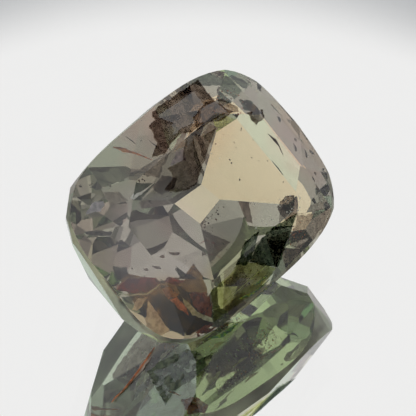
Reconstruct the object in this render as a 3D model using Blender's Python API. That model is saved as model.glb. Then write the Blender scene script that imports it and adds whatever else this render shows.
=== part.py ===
# Cushion-cut alexandrite gemstone, lying loose on one long facet of its pavilion.
# The stone is cut the way a lapidary cuts it: a rough preform with the cushion outline,
# then one flat facet at a time, in tiers, on the crown and on the pavilion.
import math

import bmesh
import bpy
from mathutils import Matrix, Vector

# Driving dimensions, in metres and degrees.
# The stone's own axes: X along the long side, Y across it, Z up through the table.
stone_length = 0.00685
stone_width = 0.00480
# 2 is an ellipse, and higher values have squarer corners.
outline_squareness = 3.55
outline_points = 96
girdle_thickness = 0.00020
crown_height = 0.00048
preform_depth = 0.0045

# The facet that the stone lies on. Its angle is also the stone's lean.
resting_angle = 38.4
resting_level = 0.00101


def all_corners(azimuth):
    """The same azimuth measured from either end, on both long sides."""
    return (azimuth, 180 - azimuth, 180 + azimuth, 360 - azimuth)


# Each tier: angle up from the girdle's plane, distance of its start on the preform's wall
# from the middle of the girdle, and azimuths about the stone's Z from +X.
# The crown is even. The pavilion is cut freely by hand to keep weight, so each side differs.
half_girdle = girdle_thickness / 2
crown_tiers = (
    ("end mains", 25, half_girdle, (0, 180)),
    ("side mains", 26, half_girdle, (90, 270)),
    ("corner mains", 21, half_girdle, all_corners(54.5)),
    ("end halves", 28.5, 0.00004, all_corners(9.5)),
    ("corner halves", 27, 0.00003, all_corners(33.5)),
    ("side halves", 34, -0.00003, all_corners(82)),
)
pavilion_tiers = (
    ("near side break", 69, half_girdle, (272,)),
    ("far side break", 68, half_girdle, (96,)),
    ("right end break", 74, half_girdle, (0,)),
    ("left end break", 65, half_girdle, (175,)),
    ("right near corner breaks", 84, half_girdle, (314, 335)),
    ("right far corner breaks", 86, half_girdle, (25, 46)),
    ("left near corner breaks", 83, half_girdle, (208, 233)),
    ("left far corner breaks", 63.5, half_girdle, (127, 152)),
    ("near side step", 53, 0.00072, (266,)),
    ("right end step", 51, 0.00071, (359,)),
    ("right near corner steps", 51, 0.00085, (314, 335)),
    ("right far corner step", 50, 0.00065, (46,)),
    ("left near corner step", 50, 0.00028, (233,)),
    ("left far corner steps", 46, 0.00021, (127, 152)),
    ("near side keel", resting_angle, resting_level, (270,)),
    ("far side keel", 45, 0.00070, (90,)),
    ("right end keel", 36.5, 0.00109, (358,)),
    ("left end keel", 32.5, 0.00028, (209,)),
    ("culet", 12, 0.00203, (246,)),
)

# Cuts this close to an existing vertex use that vertex.
cut_tolerance = 1e-8
weld_distance = 1e-7


def remove_everything():
    for old in list(bpy.data.objects):
        bpy.data.objects.remove(old)


def new_collection(name):
    collection = bpy.data.collections.new(name)
    bpy.context.scene.collection.children.link(collection)
    return collection


def outline_point(turn):
    """Point of the cushion outline at this polar angle, on a superellipse."""
    across = abs(math.cos(turn)) ** outline_squareness
    along = abs(math.sin(turn)) ** outline_squareness
    radius = (across + along) ** (-1 / outline_squareness)
    x = stone_length / 2 * radius * math.cos(turn)
    y = stone_width / 2 * radius * math.sin(turn)
    return Vector((x, y, 0))


def outline():
    """The cushion outline, as points in order."""
    step = 2 * math.pi / outline_points
    return [outline_point(number * step) for number in range(outline_points)]


def wall_point(azimuth, level):
    """Where a facet of this azimuth touches the preform's wall, at this level."""
    heading = Vector((math.cos(azimuth), math.sin(azimuth), 0))
    reach = max(point.dot(heading) for point in outline())
    return heading * reach + Vector((0, 0, level))


def make_preform(collection):
    """The rough blank: the cushion outline drawn as a flat curve and extruded."""
    curve = bpy.data.curves.new("preform", "CURVE")
    curve.dimensions = "2D"
    curve.fill_mode = "BOTH"
    curve.extrude = preform_depth
    spline = curve.splines.new("POLY")
    spline.points.add(outline_points - 1)
    for point, place in zip(spline.points, outline()):
        point.co = (place.x, place.y, 0, 1)
    spline.use_cyclic_u = True
    blank = bpy.data.objects.new("preform", curve)
    collection.objects.link(blank)
    bpy.context.view_layer.update()
    evaluated = blank.evaluated_get(bpy.context.evaluated_depsgraph_get())
    mesh = bpy.data.meshes.new_from_object(evaluated)
    bpy.data.objects.remove(blank)
    return mesh


def grind(solid, point, outward):
    """Grind one flat facet: cut off what lies outside the plane and close the cut."""
    everything = solid.verts[:] + solid.edges[:] + solid.faces[:]
    cut = bmesh.ops.bisect_plane(
        solid,
        geom=everything,
        dist=cut_tolerance,
        plane_co=point,
        plane_no=outward,
        clear_outer=True,
    )
    rim = [piece for piece in cut["geom_cut"] if isinstance(piece, bmesh.types.BMEdge)]
    if rim:
        bmesh.ops.contextual_create(solid, geom=rim)


def grind_tier(solid, side, tier):
    """Grind a ring of facets on the crown, side 1, or on the pavilion, side -1."""
    _, angle, level, azimuths = tier
    lean = math.radians(angle)
    for degrees in azimuths:
        azimuth = math.radians(degrees)
        outward = Vector((
            math.sin(lean) * math.cos(azimuth),
            math.sin(lean) * math.sin(azimuth),
            side * math.cos(lean),
        ))
        grind(solid, wall_point(azimuth, side * level), outward)


def cut_stone(mesh):
    """Grind the table, the crown and the pavilion, and keep each facet one flat face."""
    solid = bmesh.new()
    solid.from_mesh(mesh)
    bmesh.ops.remove_doubles(solid, verts=solid.verts, dist=weld_distance)
    table = Vector((0, 0, half_girdle + crown_height))
    grind(solid, table, Vector((0, 0, 1)))
    for tier in crown_tiers:
        grind_tier(solid, 1, tier)
    for tier in pavilion_tiers:
        grind_tier(solid, -1, tier)
    bmesh.ops.remove_doubles(solid, verts=solid.verts, dist=weld_distance)
    bmesh.ops.recalc_face_normals(solid, faces=solid.faces)
    solid.to_mesh(mesh)
    solid.free()


def alexandrite():
    """Dark, slightly brownish green see-through material with a polished surface."""
    material = bpy.data.materials.new("alexandrite")
    material.use_nodes = True
    shader = material.node_tree.nodes["Principled BSDF"]
    shader.inputs["Base Color"].default_value = (0.19, 0.22, 0.17, 1)
    shader.inputs["Roughness"].default_value = 0.02
    shader.inputs["IOR"].default_value = 1.746
    shader.inputs["Transmission Weight"].default_value = 1.0
    return material


def lay_down(stone):
    """Lean the stone on its resting facet, with the middle of its box over the origin."""
    lean = Matrix.Rotation(math.radians(resting_angle), 4, "X")
    corners = [lean @ vertex.co for vertex in stone.data.vertices]
    low = [min(corner[axis] for corner in corners) for axis in range(3)]
    high = [max(corner[axis] for corner in corners) for axis in range(3)]
    stone.rotation_euler = (math.radians(resting_angle), 0, 0)
    stone.location = (-(low[0] + high[0]) / 2, -(low[1] + high[1]) / 2, -low[2])


def main():
    remove_everything()
    parts = new_collection("alexandrite_gemstone")
    mesh = make_preform(parts)
    cut_stone(mesh)
    mesh.name = "alexandrite_gemstone"
    mesh.materials.clear()
    mesh.materials.append(alexandrite())
    stone = bpy.data.objects.new("alexandrite_gemstone", mesh)
    parts.objects.link(stone)
    lay_down(stone)


main()
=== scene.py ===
import math
import random

import bmesh
import bpy
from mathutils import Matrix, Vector, noise
from mathutils.bvhtree import BVHTree


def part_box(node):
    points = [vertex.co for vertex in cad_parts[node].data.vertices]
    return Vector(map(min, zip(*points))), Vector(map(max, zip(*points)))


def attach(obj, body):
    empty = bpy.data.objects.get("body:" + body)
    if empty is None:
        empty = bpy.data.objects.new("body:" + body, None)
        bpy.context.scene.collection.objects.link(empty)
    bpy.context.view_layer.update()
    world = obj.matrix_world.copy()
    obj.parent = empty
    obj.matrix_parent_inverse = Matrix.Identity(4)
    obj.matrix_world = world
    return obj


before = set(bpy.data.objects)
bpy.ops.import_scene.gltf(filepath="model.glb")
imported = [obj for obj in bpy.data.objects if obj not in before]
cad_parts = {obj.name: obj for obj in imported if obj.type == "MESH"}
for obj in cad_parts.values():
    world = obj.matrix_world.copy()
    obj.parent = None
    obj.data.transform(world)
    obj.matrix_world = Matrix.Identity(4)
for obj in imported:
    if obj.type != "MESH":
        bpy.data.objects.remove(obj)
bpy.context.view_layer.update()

# dresses the cut stone: its clear crystal, stains, dust, sheets of painted shade and a painted edge
# highlight, on a pale mirror in a light tent
millimetre = 0.001
white = (1, 1, 1, 1)
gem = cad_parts["alexandrite_gemstone"]
gemLow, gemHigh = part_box("alexandrite_gemstone")
print("gem is %.2f mm long and stands %.2f mm high" % (
    (gemHigh.x - gemLow.x) / millimetre, gemHigh.z / millimetre))

# the photograph's view: nearly flat perspective, from above the stone's near left side
photoView = {
    "azimuth": -52,
    "elevation": 42,
    "distance": 200 * millimetre,
    "imageSize": 416,
    "pixelsPerMillimetre": 44.3,
    "middleInImage": (195.7, 213.0),  # where the middle of the stone's box falls
    "sensorWidth": 36,  # the camera's own unit, which is millimetres
    "nearest": 1 * millimetre,
    "farthest": 1000 * millimetre,
}
pixelSize = millimetre / photoView["pixelsPerMillimetre"]


def viewAxes(azimuth, elevation):
    # right, up and back of a camera that looks at the stone from here
    turn, rise = math.radians(azimuth), math.radians(elevation)
    right = Vector((math.cos(turn), math.sin(turn), 0))
    back = Vector((
        math.sin(turn) * math.cos(rise),
        -math.cos(turn) * math.cos(rise),
        math.sin(rise),
    ))
    return right, back.cross(right), back


right, up, back = viewAxes(photoView["azimuth"], photoView["elevation"])


def addCamera():
    half = photoView["imageSize"] / 2
    x, y = photoView["middleInImage"]
    aim = (gemLow + gemHigh) / 2 + right * (half - x) * pixelSize + up * (y - half) * pixelSize
    camera = bpy.data.objects.new("photoCamera", bpy.data.cameras.new("photoCamera"))
    bpy.context.scene.collection.objects.link(camera)
    frameWidth = photoView["imageSize"] * pixelSize
    camera.data.sensor_width = photoView["sensorWidth"]
    camera.data.lens = photoView["sensorWidth"] * photoView["distance"] / frameWidth
    camera.data.clip_start = photoView["nearest"]
    camera.data.clip_end = photoView["farthest"]
    camera.location = aim + back * photoView["distance"]
    camera.rotation_mode = "QUATERNION"
    camera.rotation_quaternion = back.to_track_quat("Z", "Y")
    bpy.context.scene.camera = camera
    return camera, aim


camera, aim = addCamera()
print("camera placed")


def feed(tree, value, socket):
    # a value is set on the socket, and another node's output is linked to it
    if isinstance(value, bpy.types.NodeSocket):
        tree.links.new(value, socket)
    else:
        socket.default_value = value


def addNode(tree, kind, settings=None, inputs=None):
    node = tree.nodes.new("ShaderNode" + kind)
    for name, value in (settings or {}).items():
        setattr(node, name, value)
    for slot, value in (inputs or {}).items():
        feed(tree, value, node.inputs[slot])
    return node


def calculate(tree, operation, *values):
    return addNode(tree, "Math", {"operation": operation}, dict(enumerate(values))).outputs[0]


def ease(tree, value, start, end, low=0.0, high=1.0):
    # goes smoothly from low to high while the value goes from start to end
    return addNode(tree, "MapRange", {"interpolation_type": "SMOOTHSTEP"}, {
        "Value": value, "From Min": start, "From Max": end, "To Min": low, "To Max": high,
    }).outputs["Result"]


def blend(tree, share, first, second):
    return addNode(tree, "Mix", {"data_type": "RGBA"}, {
        "Factor": share, "A": first, "B": second,
    }).outputs["Result"]


def cloud(tree, place, grain, detail=3.0):
    # soft noise with lumps about this many millimetres across
    return addNode(tree, "TexNoise", None, {
        "Vector": place, "Scale": 1 / (grain * millimetre), "Detail": detail,
    }).outputs["Fac"]


def newMaterial(name):
    material = bpy.data.materials.new(name)
    material.use_nodes = True
    return material, material.node_tree, material.node_tree.nodes["Principled BSDF"]


# an even, soft light tent that is dimmer on the photograph's right side;
# azimuth 0 lies straight behind the stone and 90 to its right
tent = {
    "level": 0.88,
    "dimSide": (98, 24),  # azimuth and elevation of its middle
    "dimming": 0.70,
    "dimTightness": 7.0,
}


def addTent():
    world = bpy.data.worlds.new("lightTent")
    bpy.context.scene.world = world
    world.use_nodes = True
    tree = world.node_tree
    place = addNode(tree, "TexCoord").outputs["Generated"]
    azimuth, elevation = tent["dimSide"]
    turn, rise = math.radians(photoView["azimuth"] - azimuth), math.radians(elevation)
    towards = (
        -math.sin(turn) * math.cos(rise), math.cos(turn) * math.cos(rise), math.sin(rise))
    dot = addNode(tree, "VectorMath", {"operation": "DOT_PRODUCT"}, {0: place, 1: towards})
    tightness = tent["dimTightness"]
    fall = calculate(tree, "MULTIPLY_ADD", dot.outputs["Value"], tightness, -tightness)
    dimmed = calculate(tree, "EXPONENT", fall)
    level = calculate(tree, "MULTIPLY_ADD", dimmed, -tent["dimming"], tent["level"])
    background = tree.nodes["Background"]
    feed(tree, level, background.inputs["Strength"])
    background.inputs["Color"].default_value = white


addTent()
print("light tent up")

# the stone lies on a clear plate over a pale mirror, which falls into shade far behind it
plate = {
    "reach": 400 * millimetre,
    "thickness": 1.075 * millimetre,
    "gap": 0.01 * millimetre,
    "ior": 1.2,
    "mirrorColour": (0.97, 0.97, 0.965, 1),
    "mirrorRoughness": 0.02,
    "shadeColour": (0.55, 0.56, 0.57, 1),
    "shadeStart": 9.4 * millimetre,  # how far behind the stone
    "shadeEnd": 12.3 * millimetre,
    "shadeBow": 56,  # how strongly the shade's edge curves forward at its ends, per metre
}


def addPlate():
    glass, _, shader = newMaterial("plateGlass")
    shader.inputs["Base Color"].default_value = white
    shader.inputs["Transmission Weight"].default_value = 1
    shader.inputs["IOR"].default_value = plate["ior"]
    shader.inputs["Roughness"].default_value = 0
    silver, tree, shader = newMaterial("paleMirror")
    place = addNode(tree, "TexCoord").outputs["Object"]
    turned = addNode(tree, "VectorRotate", {"rotation_type": "Z_AXIS"}, {
        "Vector": place, "Angle": -math.radians(photoView["azimuth"]),
    })
    split = addNode(tree, "SeparateXYZ", None, {0: turned.outputs[0]})
    bow = calculate(tree, "MULTIPLY", split.outputs["X"], split.outputs["X"])
    distance = calculate(tree, "MULTIPLY_ADD", bow, plate["shadeBow"], split.outputs["Y"])
    shade = ease(tree, distance, plate["shadeStart"], plate["shadeEnd"])
    colour = blend(tree, shade, plate["mirrorColour"], plate["shadeColour"])
    feed(tree, colour, shader.inputs["Base Color"])
    shader.inputs["Metallic"].default_value = 1
    shader.inputs["Roughness"].default_value = plate["mirrorRoughness"]
    for name, height, finish in (
        ("plateTop", -plate["gap"], glass),
        ("mirror", -plate["thickness"], silver),
    ):
        bpy.ops.mesh.primitive_plane_add(size=2 * plate["reach"], location=(0, 0, height))
        sheet = bpy.context.object
        sheet.name = name
        sheet.data.materials.append(finish)


addPlate()
print("plate laid")


def facetTowards(angle, azimuth):
    # where a pavilion facet faces, from its angle to the girdle and its azimuth
    lean, turn = math.radians(angle), math.radians(azimuth)
    return (math.sin(lean) * math.cos(turn), math.sin(lean) * math.sin(turn), -math.cos(lean))


# the polished crystal; each side of the pavilion lets its own colour through
crystal = {
    "lean": 38.4,  # degrees from level, about the long axis
    "girdleMiddle": (0, -0.189 * millimetre, 2.282 * millimetre),
    "ior": 1.746,
    "absorbColour": (0.50, 0.475, 0.37, 1),
    "absorbDensity": 260,
    "bodyTint": (0.96, 0.97, 0.93, 1),
    # each side: where it faces, the cosines at which its tint starts and is full, and the tint
    "sideTints": {
        "farSide": ((0, 1, 0), (0.38, 0.52), (0.82, 0.80, 0.76, 1)),
        "leftEnd": ((-1, 0, 0), (0.38, 0.52), (0.42, 1.0, 0.78, 1)),
        "nearSide": ((0, -1, 0), (0.38, 0.52), (0.56, 1.0, 0.32, 1)),
        "endKeel": (facetTowards(36.5, 358), (0.97, 0.985), (1.0, 0.74, 0.38, 1)),
        "endStep": (facetTowards(51, 359), (0.97, 0.985), (0.95, 1.0, 0.62, 1)),
        "nearCornerBreaks": (facetTowards(84, 325), (0.92, 0.97), (1.0, 0.88, 0.94, 1)),
        "culet": (facetTowards(12, 246), (0.97, 0.985), (1.0, 0.80, 0.48, 1)),
    },
    # colour zones under the crown: middle along and across the stone, reach, tint
    "zones": {
        "brownFarSide": ((0.75, 1.85), 1.6, (1.0, 0.82, 0.70, 1)),
        "mauveRightEnd": ((3.1, -0.4), 1.2, (1.0, 0.76, 0.76, 1)),
        "mauveLeftHalf": ((-2.1, 0.0), 1.5, (1.0, 0.91, 1.0, 1)),
        "greenNearSide": ((-0.8, -2.0), 1.3, (0.90, 1.0, 0.55, 1)),
        "brownLeftCorner": ((-3.0, -1.4), 1.2, (1.0, 0.70, 0.38, 1)),
        "greenFarCorner": ((-1.6, 2.2), 0.9, (0.78, 1.0, 0.80, 1)),
        "greenRightNearSide": ((0.7, -2.2), 0.8, (0.70, 1.0, 0.72, 1)),
        "tanLeftFarSide": ((-0.9, 1.4), 0.8, (1.0, 0.86, 0.74, 1)),
    },
    "zoneDrift": (1.1, 1.0),  # size of the waves in the zones' edges, and how far they shift
    "veil": ((-1.9, -0.1), 1.7, 0.06),  # middle, reach and strength of a whitish haze
    # how far up a face looks: where it starts to count as pavilion, crown or girdle, and fully does
    "pavilionSlope": (0.1, -0.1),
    "crownSlope": (0.1, 0.5),
    "girdleSlope": (0.16, 0.10),
    "girdleRoughness": 0.3,
}


def zoneShare(tree, spot, middle, reach):
    # full within half the reach of a zone's middle and none beyond the reach
    centre = (middle[0] * millimetre, middle[1] * millimetre, 0)
    away = addNode(tree, "VectorMath", {"operation": "DISTANCE"}, {0: spot, 1: centre})
    return ease(tree, away.outputs["Value"], reach * millimetre, reach * millimetre / 2)


def stoneAxes(tree):
    # the place on the stone and the way its surface faces, in the upright stone's own axes
    place = addNode(tree, "TexCoord").outputs["Object"]
    lean = {"rotation_type": "X_AXIS"}
    upright = {"Center": (0, 0, 0), "Angle": -math.radians(crystal["lean"])}
    centred = addNode(tree, "VectorMath", {"operation": "SUBTRACT"}, {
        0: place, 1: crystal["girdleMiddle"]}).outputs[0]
    stonePlace = addNode(tree, "VectorRotate", lean, {"Vector": centred, **upright}).outputs[0]
    surface = addNode(tree, "NewGeometry")
    outward = calculate(tree, "MULTIPLY_ADD", surface.outputs["Backfacing"], -2, 1)
    turned = addNode(tree, "VectorRotate", lean, {
        "Vector": surface.outputs["True Normal"], **upright}).outputs[0]
    facing = addNode(tree, "VectorMath", {"operation": "SCALE"}, {
        0: turned, "Scale": outward}).outputs[0]
    return stonePlace, facing


def zonePlace(tree, stonePlace):
    # the place along and across the stone, shifted a little so that zones have wavy edges
    where = addNode(tree, "SeparateXYZ", None, {0: stonePlace})
    grain, shift = crystal["zoneDrift"]
    shift *= millimetre
    drift = calculate(tree, "MULTIPLY_ADD", cloud(tree, stonePlace, grain), shift, -shift / 2)
    along = calculate(tree, "ADD", where.outputs["X"], drift)
    return addNode(tree, "CombineXYZ", None, {0: along, 1: where.outputs["Y"]}).outputs[0]


def addCrystal():
    material, tree, shader = newMaterial("alexandrite")
    stonePlace, facing = stoneAxes(tree)
    rise = addNode(tree, "SeparateXYZ", None, {0: facing}).outputs["Z"]
    below = ease(tree, rise, *crystal["pavilionSlope"])
    colour = crystal["bodyTint"]
    for side, (start, full), tint in crystal["sideTints"].values():
        towards = addNode(tree, "VectorMath", {"operation": "DOT_PRODUCT"}, {0: facing, 1: side})
        share = ease(tree, towards.outputs["Value"], start, full)
        colour = blend(tree, calculate(tree, "MULTIPLY", share, below), colour, tint)
    above = ease(tree, rise, *crystal["crownSlope"])
    spot = zonePlace(tree, stonePlace)
    for middle, reach, tint in crystal["zones"].values():
        share = calculate(tree, "MULTIPLY", zoneShare(tree, spot, middle, reach), above)
        colour = blend(tree, share, colour, tint)
    feed(tree, colour, shader.inputs["Base Color"])

    # a thin whitish haze over the left half of the table
    middle, reach, strength = crystal["veil"]
    haze = calculate(tree, "MULTIPLY", zoneShare(tree, spot, middle, reach), above)
    clear = calculate(tree, "MULTIPLY_ADD", haze, -strength, 1)
    feed(tree, clear, shader.inputs["Transmission Weight"])
    shader.inputs["IOR"].default_value = crystal["ior"]

    # the girdle is ground, not polished
    steep = calculate(tree, "ABSOLUTE", rise)
    ground = ease(tree, steep, *crystal["girdleSlope"], 0.0, crystal["girdleRoughness"])
    feed(tree, ground, shader.inputs["Roughness"])
    inside = tree.nodes.new("ShaderNodeVolumeAbsorption")
    inside.inputs["Color"].default_value = crystal["absorbColour"]
    inside.inputs["Density"].default_value = crystal["absorbDensity"]
    tree.links.new(inside.outputs[0], tree.nodes["Material Output"].inputs["Volume"])
    gem.material_slots[0].material = material


# facet edges are very slightly worn
wear = {
    "width": 0.012 * millimetre,
    "segments": 2,
    "leastAngle": 4,  # facets that meet more flatly than this keep their edge
    "weldDistance": 0.0005 * millimetre,
    "flatAngle": 0.5,  # triangles that differ by less are joined to one facet first
}


def wearEdges():
    weld = gem.modifiers.new("weld", "WELD")
    weld.merge_threshold = wear["weldDistance"]
    flat = gem.modifiers.new("flatFacets", "DECIMATE")
    flat.decimate_type = "DISSOLVE"
    flat.angle_limit = math.radians(wear["flatAngle"])
    bevel = gem.modifiers.new("wornEdges", "BEVEL")
    bevel.width = wear["width"]
    bevel.segments = wear["segments"]
    bevel.limit_method = "ANGLE"
    bevel.angle_limit = math.radians(wear["leastAngle"])
    bevel.use_clamp_overlap = True


addCrystal()
wearEdges()
print("crystal finished")

# places inside the stone: down the line of sight through a pixel of the photograph,
# bent where it enters the polished surface; a negative depth lies just outside it
skin = BVHTree.FromPolygons(
    [vertex.co.copy() for vertex in gem.data.vertices],
    [list(face.vertices) for face in gem.data.polygons],
)
deepest = 0.92  # share of the way through the stone that a place may lie at
skinStep = 0.001 * millimetre  # clears the surface before the way through is measured


def mirrorDepth():
    # how far below the plate's top the mirror seems to lie from the photograph's view
    slant = math.radians(90 - photoView["elevation"])
    bent = math.asin(math.sin(slant) / plate["ior"])
    return plate["thickness"] * math.tan(bent) / math.tan(slant)


def insideStone(pixel, depth, mirrored=False):
    x, y = pixel
    half = photoView["imageSize"] / 2
    through = aim + right * (x - half) * pixelSize - up * (y - half) * pixelSize
    start = camera.location.copy()
    if mirrored:
        drop = 2 * mirrorDepth()
        start.z = -drop - start.z
        through.z = -drop - through.z
    sight = (through - start).normalized()
    meets, normal, _, _ = skin.ray_cast(start, sight)
    if meets is None:
        return None
    ratio = 1 / crystal["ior"]
    cosine = -sight.dot(normal)
    straight = math.sqrt(1 - ratio ** 2 * (1 - cosine ** 2))
    bent = sight * ratio + normal * (ratio * cosine - straight)
    bent.normalize()
    _, _, _, length = skin.ray_cast(meets + bent * skinStep, bent)
    if length is None:
        return None
    return meets + bent * min(depth * millimetre, length * deepest)


def routeInside(pixels, depth, mirrored):
    places = [insideStone(pixel, depth, mirrored) for pixel in pixels]
    return [place for place in places if place is not None]


def addPiece(name, solid, material):
    mesh = bpy.data.meshes.new(name)
    solid.to_mesh(mesh)
    solid.free()
    mesh.materials.append(material)
    piece = bpy.data.objects.new(name, mesh)
    bpy.context.scene.collection.objects.link(piece)
    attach(piece, "root")


# stains, sheets of painted shade and other marks are mottled, and some have gaps
mottleLook = {
    "lumps": (0.12, 5),  # size in millimetres, and detail
    "mottling": (0.35, 0.65),
    "roughness": 0.5,
    "gapLumps": (0.2, 4),
    "gapEdge": 0.25,
    "gapLevel": (0.62, 0.32),  # with no cover and with full cover
}


def mottledMaterial(name, dark, light, cover=1.0, through=0.0):
    # through lets light pass and colours it, and cover under 1 leaves gaps
    material, tree, shader = newMaterial(name)
    place = addNode(tree, "TexCoord").outputs["Object"]
    share = ease(tree, cloud(tree, place, *mottleLook["lumps"]), *mottleLook["mottling"])
    feed(tree, blend(tree, share, dark, light), shader.inputs["Base Color"])
    shader.inputs["Roughness"].default_value = mottleLook["roughness"]
    shader.inputs["Transmission Weight"].default_value = through
    if through:
        shader.inputs["IOR"].default_value = 1.0
        shader.inputs["Roughness"].default_value = 0.0
    if cover < 1:
        bare, full = mottleLook["gapLevel"]
        level = bare + (full - bare) * cover
        edge = mottleLook["gapEdge"] / 2
        lumps = cloud(tree, place, *mottleLook["gapLumps"])
        feed(tree, ease(tree, lumps, level - edge, level + edge), shader.inputs["Alpha"])
    return material


grainLook = {"lumps": 0.08, "roughness": 0.4}


def grainMaterial(name, dark, light):
    material, tree, shader = newMaterial(name)
    place = addNode(tree, "TexCoord").outputs["Object"]
    share = cloud(tree, place, grainLook["lumps"])
    feed(tree, blend(tree, share, dark, light), shader.inputs["Base Color"])
    shader.inputs["Roughness"].default_value = grainLook["roughness"]
    return material


sheenLook = {
    "lumps": (0.12, 1),
    "bands": (0.3, 0.7),  # where the first and the last colour lie in the noise
    "colours": (
        (0.95, 0.85, 0.30, 1), (0.35, 0.60, 0.30, 1), (0.10, 0.18, 0.55, 1), (0.75, 0.72, 0.35, 1)),
    "roughness": 0.3,
}


def sheenMaterial(name):
    # thin-film colours in bands across the sheet
    material, tree, shader = newMaterial(name)
    place = addNode(tree, "TexCoord").outputs["Object"]
    ramp = tree.nodes.new("ShaderNodeValToRGB")
    stops = ramp.color_ramp.elements
    stops.remove(stops[1])
    first, last = sheenLook["bands"]
    gaps = len(sheenLook["colours"]) - 1
    for number, colour in enumerate(sheenLook["colours"]):
        stop = stops[0] if number == 0 else stops.new(1)
        stop.position = first + (last - first) * number / gaps
        stop.color = colour
    tree.links.new(cloud(tree, place, *sheenLook["lumps"]), ramp.inputs["Fac"])
    feed(tree, ramp.outputs["Color"], shader.inputs["Base Color"])
    shader.inputs["Roughness"].default_value = sheenLook["roughness"]
    return material


# each stain, other mark and sheet of painted shade: its dark and light colour, how much it covers and how
# much light it lets through
finishes = {
    "rust": mottledMaterial("rustStain", (0.22, 0.05, 0.015, 1), (0.75, 0.26, 0.09, 1)),
    "deepRed": mottledMaterial("deepRedStain", (0.16, 0.012, 0.005, 1), (0.44, 0.06, 0.025, 1), 0.95, 0.6),
    "redBrown": mottledMaterial("redBrownStain", (0.18, 0.04, 0.02, 1), (0.44, 0.14, 0.06, 1), 0.9, 0.5),
    "orange": mottledMaterial("orangeStain", (0.32, 0.12, 0.03, 1), (0.62, 0.33, 0.12, 1), 0.9, 0.4),
    "tan": mottledMaterial("tanGlaze", (0.62, 0.50, 0.38, 1), (0.95, 0.86, 0.70, 1), 1.0, 0.2),
    "paleGreen": mottledMaterial("paleGreenGlaze", (0.50, 0.52, 0.32, 1), (0.85, 0.88, 0.66, 1), 0.95, 0.2),
    "mauve": mottledMaterial("mauveGlaze", (0.42, 0.40, 0.45, 1), (0.75, 0.70, 0.76, 1), 0.85, 0.3),
    # the Shade finishes are painted shade: see-through dark sheets that stand in for shade seen inside
    # the stone; amberShade and olivineShade also add an amber and an olive-green tint
    "brownShade": mottledMaterial("brownShade", (0.34, 0.30, 0.28, 1), (0.52, 0.47, 0.45, 1), 1.0, 1.0),
    "dustyShade": mottledMaterial("dustyShade", (0.20, 0.165, 0.155, 1), (0.36, 0.31, 0.295, 1), 1.0, 1.0),
    "blackShade": mottledMaterial("blackShade", (0.07, 0.10, 0.085, 1), (0.22, 0.26, 0.22, 1), 1.0, 1.0),
    "smokeShade": mottledMaterial("smokeShade", (0.12, 0.10, 0.09, 1), (0.30, 0.26, 0.25, 1), 1.0, 1.0),
    "amberShade": mottledMaterial("amberShade", (0.15, 0.08, 0.025, 1), (0.36, 0.22, 0.08, 1), 1.0, 1.0),
    "olivineShade": mottledMaterial("olivineShade", (0.62, 0.64, 0.36, 1), (0.90, 0.94, 0.64, 1), 1.0, 1.0),
    "dark": mottledMaterial("darkFilm", (0.02, 0.02, 0.02, 1), (0.10, 0.08, 0.07, 1)),
    "mossGreen": mottledMaterial("mossFilm", (0.03, 0.05, 0.03, 1), (0.14, 0.17, 0.10, 1), 0.75),
    "needleGlaze": mottledMaterial("needleGlaze", (0.30, 0.20, 0.16, 1), (0.55, 0.45, 0.38, 1), 0.7),
    "pale": mottledMaterial("paleScratchAndHighlight", (0.75, 0.75, 0.70, 1), (1, 1, 0.95, 1)),
    "sheen": sheenMaterial("thinFilmSheen"),
    "darkGrains": grainMaterial("darkGrains", (0.02, 0.015, 0.01, 1), (0.12, 0.08, 0.05, 1)),
    "paleGrains": grainMaterial("paleGrains", (0.75, 0.78, 0.72, 1), (1, 1, 0.95, 1)),
}
print("finishes mixed")
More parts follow.
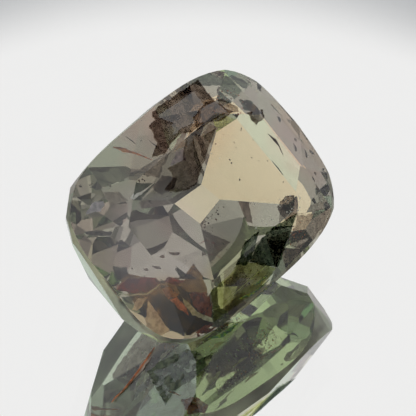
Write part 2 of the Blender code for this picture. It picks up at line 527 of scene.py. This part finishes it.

# threads are needles, scratches, the rims of cracks and one painted edge highlight: thin tubes with a
# ragged width, drawn by the pixels of the photograph that they cover, with widths and depths in
# millimetres
threadShape = {
    "sides": 6,
    "steps": 6,  # rings from one place of the route to the next
    "flatness": 0.6,
    "leastRadius": 0.002,
    "ragged": (14000, 0.35),  # waves per metre, and how much of the width they change
    "sway": (5000, 0.8),  # waves per metre, and how much of the radius they move it
}
threads = {
    "curved_crack": {
        "finish": "rust", "depth": 0.15, "widths": (0.03, 0.10, 0.12, 0.06, 0.05, 0.02),
        "route": ((113, 147), (119, 148), (124, 150), (131, 152), (140, 155), (152, 160)),
    },
    # painted highlight: a pale thread just under a crown facet edge stands in for the edge's glint
    "pale_line": {
        "finish": "pale", "depth": 0.10, "widths": (0.01, 0.02, 0.015),
        "route": ((226, 301), (246, 283), (266, 266)),
    },
    "light_streak": {
        "finish": "pale", "depth": 0.30, "widths": (0.03, 0.10, 0.04, 0.01),
        "route": ((131, 199), (137, 195), (145, 190), (154, 183)),
    },
    "patch_rim": {
        "finish": "paleGreen", "depth": 0.12, "widths": (0.02, 0.04, 0.05, 0.04),
        "route": ((116, 295), (129, 295), (147, 294), (160, 285)),
    },
    "scratch_long": {
        "finish": "pale", "depth": 0.05, "widths": (0.004, 0.012, 0.004),
        "route": ((189, 103), (196, 110), (202, 116)),
    },
    "scratch_upper": {
        "finish": "pale", "depth": 0.05, "widths": (0.004, 0.010, 0.004),
        "route": ((184, 95), (189, 94), (194, 91)),
    },
    "scratch_lower": {
        "finish": "pale", "depth": 0.05, "widths": (0.004, 0.014, 0.004),
        "route": ((184, 184), (187, 186), (191, 188)),
    },
    "scratch_middle": {
        "finish": "pale", "depth": 0.05, "widths": (0.004, 0.010, 0.004),
        "route": ((189, 174), (193, 172), (197, 167)),
    },
    "red_loop": {
        "finish": "deepRed", "depth": 0.35, "widths": (0.01, 0.03, 0.03, 0.01),
        "route": ((199, 244), (206, 240), (214, 243), (219, 250)),
    },
    "red_bow": {
        "finish": "deepRed", "depth": 0.35, "widths": (0.01, 0.025, 0.01),
        "route": ((205, 256), (214, 254), (223, 259)),
    },
    "edge_sliver": {
        "finish": "dark", "depth": 0.30, "widths": (0.01, 0.08, 0.03, 0.01),
        "route": ((268, 134), (275, 140), (279, 146), (283, 155)),
    },
    "edge_line": {
        "finish": "dark", "depth": 0.60, "widths": (0.01, 0.03, 0.01),
        "route": ((272, 161), (278, 168), (283, 175)),
    },
    "rust_needle": {
        "finish": "rust", "depth": -0.03, "widths": (0.03, 0.04, 0.05, 0.05, 0.05, 0.04, 0.02),
        "mirrored": True,
        "route": ((155, 347), (150, 354), (142, 366), (134, 377), (125, 388), (117, 396), (112, 402)),
    },
    "moss_scratch": {
        "finish": "pale", "depth": 0.08, "widths": (0.006, 0.015, 0.006), "mirrored": True,
        "route": ((166, 363), (176, 365), (185, 368)),
    },
    "moss_scratch_upper": {
        "finish": "pale", "depth": 0.08, "widths": (0.006, 0.015, 0.006), "mirrored": True,
        "route": ((188, 354), (185, 361), (181, 369)),
    },
    "rust_streak": {
        "finish": "rust", "depth": 0.15, "widths": (0.02, 0.05, 0.02), "mirrored": True,
        "route": ((166, 390), (174, 392), (181, 395)),
    },
}


def threadRing(solid, start, end, share, width):
    sides = threadShape["sides"]
    raggedWaves, ragged = threadShape["ragged"]
    swayWaves, sway = threadShape["sway"]
    middle = start.lerp(end, share)
    along = (end - start).normalized()
    across = along.cross(Vector((0, 0, 1))).normalized()
    over = along.cross(across)
    wobble = 1 + ragged * noise.noise(middle * raggedWaves)
    radius = max(width / 2 * wobble, threadShape["leastRadius"]) * millimetre
    middle = middle + over * noise.noise(middle * swayWaves) * radius * sway
    ring = []
    for side in range(sides):
        turn = 2 * math.pi * side / sides
        reach = across * math.cos(turn) + over * math.sin(turn) * threadShape["flatness"]
        ring.append(solid.verts.new(middle + reach * radius))
    return ring


def addThread(name, made):
    places = routeInside(made["route"], made["depth"], made.get("mirrored", False))
    widths = made["widths"]
    steps = threadShape["steps"]
    solid = bmesh.new()
    rings = []
    for number in range((len(places) - 1) * steps + 1):
        part = min(number // steps, len(places) - 2)
        share = number / steps - part
        width = widths[part] + (widths[part + 1] - widths[part]) * share
        rings.append(threadRing(solid, places[part], places[part + 1], share, width))
    sides = threadShape["sides"]
    for ring, following in zip(rings, rings[1:]):
        for side in range(sides):
            beside = (side + 1) % sides
            solid.faces.new((ring[side], ring[beside], following[beside], following[side]))
    solid.faces.new(list(reversed(rings[0])))
    solid.faces.new(rings[-1])
    bmesh.ops.recalc_face_normals(solid, faces=solid.faces)
    addPiece(name, solid, finishes[made["finish"]])


for name, made in threads.items():
    addThread(name, made)
print("needles and cracks drawn")

# films are flat cracks, stained sheets and see-through sheets of painted shade, with a ragged edge and a
# gentle ripple, drawn by the pixels of the photograph that they cover, with depths in millimetres
filmShape = {
    "thickness": 0.006,
    "rimShare": 0.25,  # of the thickness, left at the rim
    "rings": (1, 0.72, 0.45, 0.2),  # from the rim inwards
    "edgeStep": 0.05,
    "ragged": (9000, 0.05),  # waves per metre, and their height
    "rippleWaves": 4000,
    "ripple": 0.04,
}
# sheets of painted shade lie here, just outside the polished surface
onSkin = {"depth": -0.02, "ripple": 0}  # where reflections inside the stone don't repeat it
films = {
    # painted shade: a dark see-through sheet on the surface
    "dusty_shade": {
        "finish": "dustyShade", **onSkin,
        "outline": (
            (198, 80), (213, 100), (232, 112), (221, 121), (206, 122), (192, 132), (182, 133),
            (171, 143), (165, 154), (152, 157), (157, 142), (149, 126), (155, 120), (151, 112)),
    },
    # painted shade: a dark see-through sheet on the surface
    "middle_shade": {
        "finish": "brownShade", **onSkin,
        "outline": (
            (190, 130), (201, 137), (216, 128), (195, 186), (176, 193), (165, 189), (173, 178),
            (168, 168), (182, 161), (184, 146)),
    },
    # painted shade: a dark see-through sheet on the surface
    "black_shade": {
        "finish": "blackShade", **onSkin,
        "outline": (
            (297, 213), (284, 221), (273, 227), (262, 238), (255, 249), (249, 262), (277, 268),
            (283, 254), (288, 238)),
    },
    # painted shade: a dark see-through sheet on the surface
    "green_black_shade": {
        "finish": "blackShade", **onSkin,
        "outline": (
            (259, 231), (249, 238), (242, 248), (240, 257), (236, 264), (245, 266), (252, 257)),
    },
    # painted shade: a dark see-through sheet inside the stone
    "corner_shade_low": {
        "finish": "brownShade", "depth": 0.30,
        "outline": ((298, 214), (330, 207), (323, 227), (306, 248), (290, 246), (294, 228)),
    },
    # painted shade: a dark see-through sheet inside the stone
    "window_edge_shade": {
        "finish": "smokeShade", "depth": 0.45,
        "outline": ((276, 207), (285, 197), (298, 196), (297, 212), (284, 219)),
    },
    # painted shade: a dark see-through sheet on the surface
    "notch_shade": {
        "finish": "smokeShade", **onSkin,
        "outline": ((246, 113), (256, 125), (264, 117), (262, 110)),
    },
    # painted shade with an amber tint: a dark see-through sheet inside the stone
    "lower_amber_shade": {
        "finish": "amberShade", "depth": 0.45,
        "outline": (
            (112, 268), (130, 274), (160, 281), (184, 277), (194, 263), (206, 285), (213, 322),
            (190, 336), (170, 343), (150, 334), (128, 312)),
    },
    # an olive-green tint with painted shade: a see-through sheet on the surface
    "olive_shade": {
        "finish": "olivineShade", **onSkin,
        "outline": (
            (240, 262), (262, 263), (276, 268), (262, 286), (240, 303), (222, 316), (214, 322),
            (211, 290), (226, 279)),
    },
    # painted shade: a dark see-through sheet on the surface
    "rusty_shade": {
        "finish": "brownShade", **onSkin,
        "outline": (
            (193, 118), (205, 103), (222, 99), (236, 106), (240, 112), (226, 113), (212, 121),
            (197, 131)),
    },
    # painted shade: a dark see-through sheet inside the stone
    "lower_left_shade": {
        "finish": "blackShade", "depth": 0.30,
        "outline": ((112, 266), (126, 267), (128, 275), (116, 284)),
    },
    # painted shade: a dark see-through sheet inside the stone
    "lower_shade_wedge": {
        "finish": "blackShade", "depth": 0.30,
        "outline": ((120, 297), (134, 296), (128, 310)),
    },
    # painted shade: a dark see-through sheet inside the stone
    "lower_shade_wedge_middle": {
        "finish": "blackShade", "depth": 0.30,
        "outline": ((137, 307), (147, 301), (141, 325), (135, 318)),
    },
    # painted shade: a dark see-through sheet inside the stone
    "lower_shade": {
        "finish": "blackShade", "depth": 0.35,
        "outline": (
            (153, 298), (160, 294), (174, 300), (190, 312), (210, 323), (190, 335), (172, 342),
            (166, 339), (168, 326)),
    },
    "red_patch": {
        "finish": "deepRed", "depth": 0.15,
        "outline": (
            (115, 292), (117, 285), (129, 279), (143, 277), (156, 278), (160, 281), (155, 287),
            (147, 292), (131, 293)),
    },
    "red_splinter": {
        "finish": "deepRed", "depth": 0.15,
        "outline": ((165, 282), (168, 278), (185, 281), (177, 285)),
    },
    "orange_patch": {
        "finish": "orange", "depth": 0.15,
        "outline": ((162, 289), (170, 287), (179, 295), (168, 300)),
    },
    "brown_patch": {
        "finish": "redBrown", "depth": 0.15,
        "outline": (
            (190, 295), (193, 292), (208, 293), (212, 306), (211, 318), (204, 316), (193, 306)),
    },
    "rust_patch": {
        "finish": "rust", "depth": 0.18,
        "outline": ((170, 300), (177, 297), (187, 308), (189, 316), (179, 308)),
    },
    "lower_rust_patch": {
        "finish": "redBrown", "depth": 0.12,
        "outline": ((202, 327), (214, 323), (204, 333), (195, 333)),
    },
    "green_band": {
        "finish": "paleGreen", "depth": 0.13,
        "outline": (
            (182, 297), (189, 303), (195, 312), (212, 318), (213, 322), (206, 321), (193, 315),
            (185, 306)),
    },
    "tan_triangle": {
        "finish": "tan", "depth": 0.15,
        "outline": ((148, 300), (170, 331), (160, 335), (143, 329)),
    },
    "tan_splinter": {
        "finish": "tan", "depth": 0.15,
        "outline": ((138, 298), (147, 298), (137, 311), (132, 310)),
    },
    "bright_splinter": {
        "finish": "tan", "depth": 0.25,
        "outline": ((201, 137), (210, 123), (218, 129)),
    },
    "tan_streak": {
        "finish": "tan", "depth": 0.25,
        "outline": ((172, 150), (185, 145), (187, 131), (182, 133)),
    },
    "mauve_streak": {
        "finish": "mauve", "depth": 0.25,
        "outline": ((176, 152), (184, 148), (185, 160), (170, 166)),
    },
    "mauve_shard": {
        "finish": "mauve", "depth": 0.15,
        "outline": ((85, 215), (91, 204), (103, 201), (105, 205), (100, 211)),
    },
    "dark_band": {
        "finish": "dark", "depth": 0.30,
        "outline": ((84, 232), (99, 230), (112, 232), (110, 236), (91, 235)),
    },
    "needle_sheet": {
        "finish": "needleGlaze", "depth": -0.012, "mirrored": True,
        "outline": ((154, 348), (151, 357), (145, 368), (134, 379), (139, 367), (147, 356)),
    },
    "contact_sheen": {
        "finish": "sheen", "depth": 0.008, "ripple": 0, "mirrored": True,
        "outline": ((206, 339), (218, 336), (233, 325), (239, 322), (231, 331), (222, 337)),
    },
    "moss_patch": {
        "finish": "mossGreen", "depth": -0.012, "mirrored": True,
        "outline": (
            (148, 371), (166, 358), (188, 349), (198, 351), (208, 364), (198, 375), (175, 390),
            (165, 405)),
    },
    "lower_rust_veil": {
        "finish": "redBrown", "depth": 0.15, "mirrored": True,
        "outline": ((181, 399), (195, 397), (207, 404), (205, 414), (188, 414)),
    },
}


def filmEdge(places, middle):
    # the outline as points close together, each pulled in or out a little
    waves, height = filmShape["ragged"]
    edge = []
    for start, end in zip(places, places[1:] + places[:1]):
        steps = max(2, int((end - start).length / (filmShape["edgeStep"] * millimetre)))
        for number in range(steps):
            point = start.lerp(end, number / steps)
            pull = noise.noise(point * waves) * height * millimetre
            edge.append(point + (point - middle).normalized() * pull)
    return edge


def filmNormal(edge, middle):
    normal = Vector()
    for start, end in zip(edge, edge[1:] + edge[:1]):
        normal += (start - middle).cross(end - middle)
    return normal.normalized()


def addFilmSide(solid, edge, middle, wave, lift):
    # one side of the sheet, as rings from the rim inwards round a point in the middle
    rings = []
    for share in filmShape["rings"]:
        rise = lift * filmShape["rimShare"] if share == 1 else lift
        ring = []
        for point in edge:
            spot = middle.lerp(point, share)
            ripple = wave * noise.noise(spot * filmShape["rippleWaves"])
            ring.append(solid.verts.new(spot + ripple + rise))
        rings.append(ring)
    centre = solid.verts.new(middle + lift)
    count = len(edge)
    for number in range(count):
        beside = (number + 1) % count
        for outer, inner in zip(rings, rings[1:]):
            solid.faces.new((outer[number], outer[beside], inner[beside], inner[number]))
        solid.faces.new((rings[-1][number], rings[-1][beside], centre))
    return rings[0]


def addFilm(name, made):
    places = routeInside(made["outline"], made["depth"], made.get("mirrored", False))
    middle = sum(places, Vector()) / len(places)
    edge = filmEdge(places, middle)
    normal = filmNormal(edge, middle)
    wave = normal * made.get("ripple", filmShape["ripple"]) * millimetre
    lift = normal * filmShape["thickness"] / 2 * millimetre
    solid = bmesh.new()
    front = addFilmSide(solid, edge, middle, wave, lift)
    behind = addFilmSide(solid, edge, middle, wave, -lift)
    for number in range(len(edge)):
        beside = (number + 1) % len(edge)
        solid.faces.new((front[beside], front[number], behind[number], behind[beside]))
    bmesh.ops.recalc_face_normals(solid, faces=solid.faces)
    addPiece(name, solid, finishes[made["finish"]])


for name, made in films.items():
    addFilm(name, made)
print("stained sheets grown")

# grains are small crystals and dust, each a lump with a shape of its own
speckShape = {
    "depthSpread": (0.6, 1.4),
    "sizeSpread": (0.5, 1.3),
    "stretch": (0.6, 1.5),
    "lumps": (2.3, 0.5),  # waves across a grain, and their height
    "apart": 1e5,  # moves each grain to its own part of the noise
}
# each cluster: its pixel, reach in pixels, count, size and depth in millimetres, and whether
# it shows in the mirror image
specks = {
    "dark_specks": {
        "finish": "darkGrains", "seed": 4,
        "clusters": (
            (234, 143, 1, 2, 0.035, 0.5, False), (231, 161, 2, 2, 0.035, 0.5, False),
            (222, 174, 1, 1, 0.03, 0.5, False), (240, 179, 1, 2, 0.025, 0.5, False),
            (268, 161, 1, 2, 0.035, 0.5, False), (291, 169, 1, 1, 0.04, 0.5, False),
            (236, 147, 1, 1, 0.03, 0.5, False), (253, 184, 1, 1, 0.04, 0.5, False),
            (285, 181, 2, 2, 0.03, 0.5, False), (268, 200, 1, 1, 0.035, 0.5, False),
            (241, 128, 2, 2, 0.04, 0.5, False), (240, 170, 45, 9, 0.018, 0.5, False),
            (91, 186, 2, 3, 0.05, 0.2, False), (110, 186, 2, 3, 0.05, 0.2, False),
            (80, 187, 2, 2, 0.05, 0.2, False),
        ),
    },
    "pale_specks": {
        "finish": "paleGrains", "seed": 11,
        "clusters": (
            (190, 112, 30, 70, 0.024, 0.05, False), (205, 150, 22, 30, 0.022, 0.05, False),
            (228, 105, 20, 40, 0.022, 0.05, False), (290, 204, 12, 26, 0.028, 0.05, False),
            (262, 225, 24, 26, 0.024, 0.05, False), (175, 372, 20, 8, 0.02, 0.15, True),
        ),
    },
    "rust_specks": {
        "finish": "rust", "seed": 23,
        "clusters": (
            (228, 106, 16, 80, 0.028, 0.06, False), (200, 120, 30, 40, 0.022, 0.06, False),
            (294, 236, 9, 40, 0.03, 0.06, False), (302, 226, 12, 16, 0.025, 0.06, False),
        ),
    },
}


def addGrain(solid, place, across, stretch):
    waves, height = speckShape["lumps"]
    made = bmesh.ops.create_icosphere(solid, subdivisions=1, radius=across / 2)
    for vertex in made["verts"]:
        spot = vertex.co / across * waves + place * speckShape["apart"]
        vertex.co = place + vertex.co * stretch * (1 + height * noise.noise(spot))


def addSpecks(name, made):
    draw = random.Random(made["seed"])
    solid = bmesh.new()
    for x, y, reach, count, size, depth, mirrored in made["clusters"]:
        for _ in range(count):
            turn = draw.uniform(0, 2 * math.pi)
            far = math.sqrt(draw.random()) * reach
            pixel = (x + far * math.cos(turn), y + far * math.sin(turn))
            place = insideStone(pixel, draw.uniform(*speckShape["depthSpread"]) * depth, mirrored)
            across = size * draw.uniform(*speckShape["sizeSpread"]) ** 2 * millimetre
            stretch = Vector([draw.uniform(*speckShape["stretch"]) for _ in range(3)])
            if place is not None:
                addGrain(solid, place, across, stretch)
    addPiece(name, solid, finishes[made["finish"]])


for name, made in specks.items():
    addSpecks(name, made)
print("specks scattered")

lightBounces = 24  # enough to follow light through the stone, the plate and the mirror
scene = bpy.context.scene
scene.view_settings.view_transform = "Standard"
scene.cycles.max_bounces = lightBounces
scene.cycles.glossy_bounces = lightBounces
scene.cycles.transmission_bounces = lightBounces
